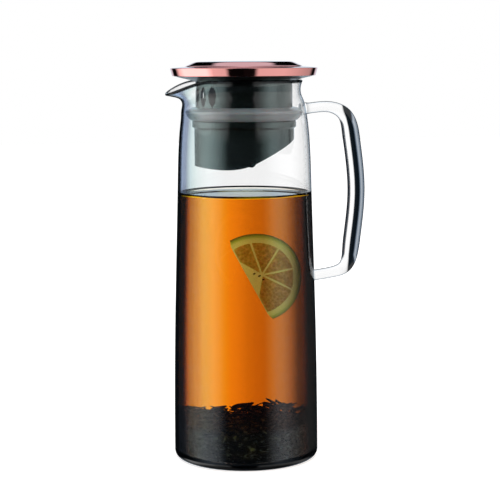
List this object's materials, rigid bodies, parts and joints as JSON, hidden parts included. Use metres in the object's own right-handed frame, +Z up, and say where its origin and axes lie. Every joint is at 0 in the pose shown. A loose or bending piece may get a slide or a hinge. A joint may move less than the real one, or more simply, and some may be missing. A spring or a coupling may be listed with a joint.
{
  "type": "infuser pitcher",
  "caption": "Tall glass pitcher with pouring lip and loop handle, and a lift-off lid that carries a slotted pour sleeve, a seal and a strainer cup with a hinged flap.",
  "frame": {"origin": "middle of the flat base, on the carafe's own axis", "axes": "+Z up along the carafe's axis, -X to the pouring lip, +X to the handle"},
  "size_m": [0.141, 0.1018, 0.2768],
  "materials": {
    "body_glass": "clear, fire-polished",
    "handle_glass": "clear, fire-polished",
    "copper_steel": "polished, rose-copper colour",
    "dark_plastic": "moulded, glossy",
    "smoky_plastic": "moulded, glossy, smoky",
    "silicone": "translucent silicone, satin",
    "black_rubber": "satin",
    "steel": "fine satin"
  },
  "bodies": {
    "jug": {"carafe": "body_glass", "handle": "handle_glass"},
    "seal": {"seal_ring": "silicone"},
    "lid": {"lid_cap": "copper_steel", "lid_plate": "dark_plastic", "pour_sleeve": "smoky_plastic", "cup_o_ring": "black_rubber"},
    "cup": {"strainer_cup": "smoky_plastic", "strainer_screen": "steel", "hinge_pin": "dark_plastic"},
    "flap": {"pour_flap": "smoky_plastic", "flap_gasket": "silicone", "flap_weight": "steel"}
  },
  "joints": [
    {"name": "lid_lift", "type": "slide", "parent": "jug", "child": "seal", "axis": [0, 0, 1], "range_m": [0, 0.085], "deforming": ["seal_ring"]},
    {"name": "lid_turn", "type": "hinge", "parent": "seal", "child": "lid", "pos_m": [0, 0, 0.24], "axis": [0, 0, 1], "continuous": true},
    {"name": "cup_pull", "type": "slide", "parent": "lid", "child": "cup", "axis": [0, 0, -1], "range_m": [0, 0.02]},
    {"name": "flap_swing", "type": "hinge", "parent": "cup", "child": "flap", "pos_m": [-0.0024, 0, 0.2087], "axis": [0, -1, 0], "range_deg": [0, 95]}
  ]
}
